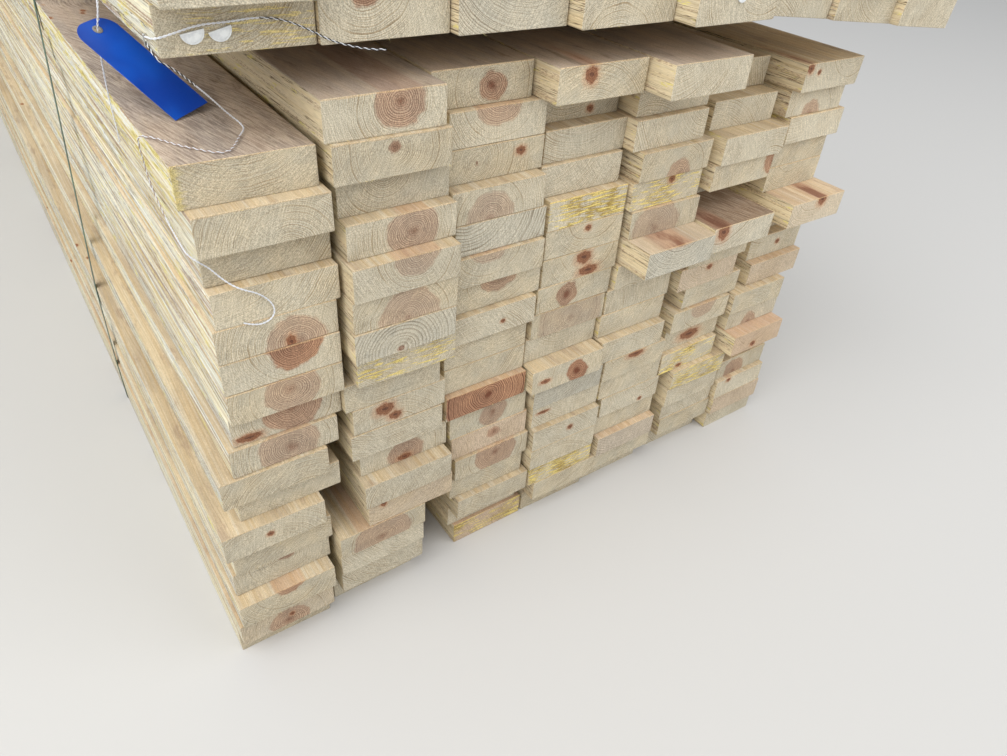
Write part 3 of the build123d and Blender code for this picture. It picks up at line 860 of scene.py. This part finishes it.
# The routes of the strings, in millimetres from the lower left front corner of the upper pack's first board
TAG_STRING = [
    (-1.4, 224, 32), (-2.2, 221.5, 9), (-13.8, 209.9, -21.5), (-15.5, 219, -52), (-17, 225, -91),
    (-16.6, 227.5, -127), (-17, 228, -150),
]
TAG_STRING_END = [(-1.4, 228, 31), (-2.2, 229, 15), (-5, 224.5, 0), (-8.5, 218, -13.5)]
END_TWINE = [
    (-1.4, 38, 10.5), (-1.7, 20.5, 14), (-3.8, 3, 17), (1.2, -5, 18.5), (15, -2.7, 21),
    (38, -1.7, 26.5), (66, -1.9, 27), (91, -1.7, 29.5), (117, -2.5, 26), (142, -5.8, 15),
    (162, -7.2, 4), (184, -7, -3), (206, -7.3, -8), (222, -7.1, -9),
]
CORNER_TWINE = [
    (-1.4, 35.5, 6.5), (-1.7, 24, 3), (0.5, 12, -4.5), (13, 15, -13), (30, 33, -31), (54, 58, -58),
    (71, 72, -79), (84, 71.5, -91.8), (83, 56.5, -92.7), (70, 36.5, -92.7), (57.5, 14, -92.7),
    (48, 1.5, -92.7), (36, 2.5, -92.7), (22, 20, -92.7), (6, 42, -92.7), (-6, 66, -92.4),
    (-20.5, 79, -91.6), (-20.2, 86, -106), (-18.5, 91, -122), (-17.8, 92, -138), (-17, 87, -152),
    (-16, 74, -166), (-15.5, 56, -176), (-15, 36, -183), (-14.6, 16, -187.5), (-14, -1, -192),
    (-7, -10.5, -198), (4, -9.5, -209), (13, -12.5, -222), (21, -19.5, -229.5), (31, -26.5, -235),
    (45, -23.5, -244), (57, -22.6, -256), (63.5, -22.2, -270), (60, -22, -282), (48, -22.1, -287),
    (36, -22.3, -284.5), (26, -22.2, -279),
]


def spline_points(route, corner):
    """The points of a smooth line along the route, which is in millimetres from the corner."""
    curve = bpy.data.curves.new("route", "CURVE")
    curve.dimensions = "3D"
    curve.resolution_u = 16
    spline = curve.splines.new("NURBS")
    spline.points.add(len(route) - 1)
    for point, place in zip(spline.points, route):
        point.co = (*(corner[k] + place[k] * MM for k in range(3)), 1.0)
    spline.order_u = 3
    spline.use_endpoint_u = True
    holder = bpy.data.objects.new("route", curve)
    mesh = bpy.data.meshes.new_from_object(holder)
    points = [v.co.copy() for v in mesh.vertices]
    bpy.data.objects.remove(holder)
    bpy.data.curves.remove(curve)
    bpy.data.meshes.remove(mesh)
    return points


def frames_along(points):
    """The distance along the line at each point, and two ways across it that don't twist."""
    travelled, sides, ups = [0.0], [], []
    side = Vector((0.31, 0.52, 0.79))
    for k, point in enumerate(points):
        ahead = (points[min(k + 1, len(points) - 1)] - points[max(k - 1, 0)]).normalized()
        side = (side - ahead * side.dot(ahead)).normalized()
        sides.append(side)
        ups.append(ahead.cross(side))
        if k:
            travelled.append(travelled[-1] + (point - points[k - 1]).length)
    return travelled, sides, ups


def evened(points):
    """The same line with its points a string's step apart."""
    places = np.array(points)
    travelled = np.concatenate([[0.0], np.cumsum(np.linalg.norm(np.diff(places, axis=0), axis=1))])
    wanted = np.linspace(0.0, travelled[-1], max(FEWEST_STEPS, round(travelled[-1] / STRING_STEP)))
    return [Vector([np.interp(d, travelled, places[:, k]) for k in range(3)]) for d in wanted]


def twisted_string(name, node, route, corner, materials, colours, seed, **declared):
    """A string of twisted strands along its route. colours gives each strand's material along the string.
    declared is not used."""
    line = spline_points(route, corner)
    points = evened(line)
    travelled, sides, ups = frames_along(points)
    strands = len(colours[0][1])
    away = STRING_DIAMETER / 2 - STRAND_RADIUS
    rng = np.random.default_rng(seed)
    verts, faces, kinds = [], [], []

    def across(k, angle):
        return math.cos(angle) * sides[k] + math.sin(angle) * ups[k]

    for strand in range(strands):
        base = len(verts)
        for k, point in enumerate(points):
            turn = 2 * math.pi * (travelled[k] / STRAND_PITCH + strand / strands)
            centre = point + away * across(k, turn)
            radius = STRAND_RADIUS * rng.uniform(STRAND_THINNEST, 1.0)
            for step in range(STRAND_SIDES):
                verts.append(centre + radius * across(k, 2 * math.pi * step / STRAND_SIDES))
        for k in range(len(points) - 1):
            share = travelled[k] / travelled[-1]
            kind = [of_strands for start, of_strands in colours if share >= start][-1][strand]
            a, b = base + k * STRAND_SIDES, base + (k + 1) * STRAND_SIDES
            for step in range(STRAND_SIDES):
                after = (step + 1) % STRAND_SIDES
                faces.append((a + step, a + after, b + after, b + step))
                kinds.append(kind)
        faces.append(tuple(reversed(range(base, base + STRAND_SIDES))))
        faces.append(tuple(range(len(verts) - STRAND_SIDES, len(verts))))
        kinds += [kinds[-1], kinds[-1]]
    piece = new_mesh(name, [tuple(v) for v in verts], faces, materials)
    piece.data.polygons.foreach_set("material_index", kinds)
    piece.data.polygons.foreach_set("use_smooth", [True] * len(faces))
    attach(piece, "root")
    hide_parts(node)


def string_material(name, light, dark):
    """Spun fibres, lighter and darker along the string."""
    shader = Shader(name)
    fibres = shader.noise(shader.here, 2600.0)
    patches = shader.noise(shader.here, 90.0)
    colour = shader.mottled(fibres, 0.3, 0.7, dark, light)
    colour = shader.tinted(colour, (patches, 0.5, 0.7, 0.0, 0.4, dark))
    return shader.finish(Base_Color=colour, Roughness=0.85, Normal=shader.bump(fibres, 0.3 * MM, 0.7))


def tag_material():
    """Blue plastic sheet with fine scuffs and a soft gloss."""
    shader = Shader("tag_blue")
    scuffs = shader.noise(shader.here, (240.0, 40.0, 240.0), detail=4.0, roughness=0.6)
    waves = shader.noise(shader.here, 16.0)
    colour = shader.mottled(waves, 0.35, 0.65, (0, 60, 158), (6, 80, 184))
    colour = shader.tinted(colour, (scuffs, 0.62, 0.75, 0.0, 0.25, (60, 100, 190)))
    roughness = shader.steps(scuffs, 0.3, 0.7, 0.34, 0.5)
    return shader.finish(Base_Color=colour, Roughness=roughness, Normal=shader.bump(waves, 2.0 * MM, 0.5))


def white_plastic():
    shader = Shader("clip_white")
    cloud = shader.noise(shader.here, 160.0, detail=3.0)
    colour = shader.mottled(cloud, 0.35, 0.65, (226, 228, 226), (206, 208, 208))
    return shader.finish(Base_Color=colour, Roughness=0.4, Normal=shader.bump(cloud, 0.2 * MM, 0.4))


def steel_material():
    shader = Shader("plated_steel")
    brushed = shader.noise(shader.here, (900.0, 900.0, 4000.0))
    colour = shader.mottled(brushed, 0.3, 0.7, (176, 176, 172), (206, 206, 204))
    roughness = shader.steps(brushed, 0.3, 0.7, 0.25, 0.4)
    return shader.finish(Base_Color=colour, Metallic=1.0, Roughness=roughness)


def strap_material():
    """Green strapping with a fine weave and paler worn patches."""
    shader = Shader("strap_green")
    weave = shader.noise(shader.here, 900.0)
    wear = shader.noise(shader.here, 14.0, detail=4.0)
    colour = shader.mottled(wear, 0.4, 0.7, (38, 66, 46), (62, 92, 66))
    return shader.finish(Base_Color=colour, Roughness=0.42, Normal=shader.bump(weave, 0.1 * MM, 0.6))


def bearer_material():
    """Darker wood, with its grain across the stack."""
    shader = Shader("bearer_wood")
    streak = shader.noise(shader.here, (2.0, 90.0, 90.0), detail=4.0, roughness=0.6)
    blotch = shader.noise(shader.here, 12.0, detail=3.0)
    colour = shader.mottled(streak, 0.35, 0.65, (196, 170, 124), (160, 132, 94))
    colour = shader.tinted(colour, (blotch, 0.5, 0.7, 0.0, 0.5, (132, 112, 90)))
    return shader.finish(Base_Color=colour, Roughness=0.8, Normal=shader.bump(streak, 0.5 * MM, 0.7))


# The light and the floor: each lamp's name, place, size and power
LAMPS = (
    ("key", (-5.0, -3.5, 6.0), 8.0, 700.0),
    ("fill", (4.0, -6.5, 4.0), 6.0, 215.0),
)
LAMPS_LOOK_AT = Vector((0, 0, 0.4))
SKY_STRENGTH = 0.75
HALF_FLOOR = 40.0


def floor_and_light():
    corners = [(x * HALF_FLOOR, y * HALF_FLOOR, 0) for x, y in ((-1, -1), (1, -1), (1, 1), (-1, 1))]
    floor_material = Shader("floor").finish(Base_Color=(196, 194, 190), Roughness=0.9)
    floor = new_mesh("floor", corners, [(0, 1, 2, 3)], [floor_material])
    world = bpy.data.worlds.new("studio")
    world.use_nodes = True
    bpy.context.scene.world = world
    background = world.node_tree.nodes["Background"]
    background.inputs["Color"].default_value = srgb(236, 240, 246)
    background.inputs["Strength"].default_value = SKY_STRENGTH
    for name, place, size, power in LAMPS:
        light = bpy.data.lights.new(name, "AREA")
        light.size = size
        light.energy = power
        lamp = linked(name, light)
        lamp.location = place
        lamp.rotation_mode = "QUATERNION"
        lamp.rotation_quaternion = (LAMPS_LOOK_AT - Vector(place)).to_track_quat("-Z", "Y")


def camera():
    data = bpy.data.cameras.new("camera")
    data.sensor_width = SENSOR_WIDTH
    data.lens = FOCAL_PIXELS / PHOTO_WIDTH * SENSOR_WIDTH
    data.clip_start = 0.05
    made = linked("camera", data)
    turn = (
        Matrix.Rotation(math.radians(-CAMERA_HEADING), 4, "Z")
        @ Matrix.Rotation(math.radians(90 + CAMERA_PITCH), 4, "X")
        @ Matrix.Rotation(math.radians(CAMERA_ROLL), 4, "Z")
    )
    made.matrix_world = Matrix.Translation(CAMERA_PLACE) @ turn
    bpy.context.scene.camera = made


camera()
floor_and_light()
bpy.context.scene.view_settings.view_transform = "Standard"

wood = (end_material(), side_material(), top_material())
placed = {}
for course in range(1, COURSES + 1):
    first_column = 2 if course == 1 else 1
    placed |= course_piece(f"boards_{course:02d}", f"course_{course:02d}", course, wood, first_column)
for k, course in enumerate(UPPER_COURSES, 1):
    placed |= course_piece(f"upper_boards_{k}", f"upper_course_{k}", course, wood)
loose_fibres("loose_fibres", placed, fibre_material())

first_board = placed[1, "U1"]
corner = (first_board.corner[0], first_board.front, first_board.corner[1])
strings = (
    string_material("string_white", (236, 238, 240), (196, 198, 204)),
    string_material("string_black", (40, 40, 44), (14, 14, 16)),
    string_material("string_brown", (196, 176, 162), (120, 96, 84)),
)
# Each string's two strands, from the given share of its length on
WHITE, BLACK, BROWN = range(3)
ALL_WHITE = [(0.0, (WHITE, WHITE))]
END_COLOURS = [(0.0, (WHITE, WHITE)), (0.5, (BLACK, WHITE))]
CORNER_COLOURS = [
    (0.0, (BLACK, WHITE)), (0.12, (WHITE, WHITE)), (0.29, (BROWN, WHITE)), (0.66, (WHITE, WHITE)),
]
for seed, (name, node, route, colours, lay) in enumerate((
    ("tag_string_1", "tag_string", TAG_STRING, ALL_WHITE, "hanging"),
    ("tag_string_2", "tag_string_end", TAG_STRING_END, ALL_WHITE, "hanging"),
    ("twine_end", "end_twine", END_TWINE, END_COLOURS, "loose"),
    ("twine_corner", "corner_twine", CORNER_TWINE, CORNER_COLOURS, "loose"),
), FIRST_STRING_SEED):
    twisted_string(name, node, route, corner, strings, colours, seed, far_end="bare", lay=lay)

finishes = {
    strap_material(): ("front_strap", "back_strap"),
    bearer_material(): ("bearer_1", "bearer_2", "bearer_3"),
    tag_material(): ("tag",),
    steel_material(): ("eyelet", "tag_staple", "twine_staple"),
    white_plastic(): ("clip_1", "clip_2", "disc"),
}
for material, nodes in finishes.items():
    for node in nodes:
        on_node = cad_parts[node].data.materials
        on_node.clear()
        on_node.append(material)
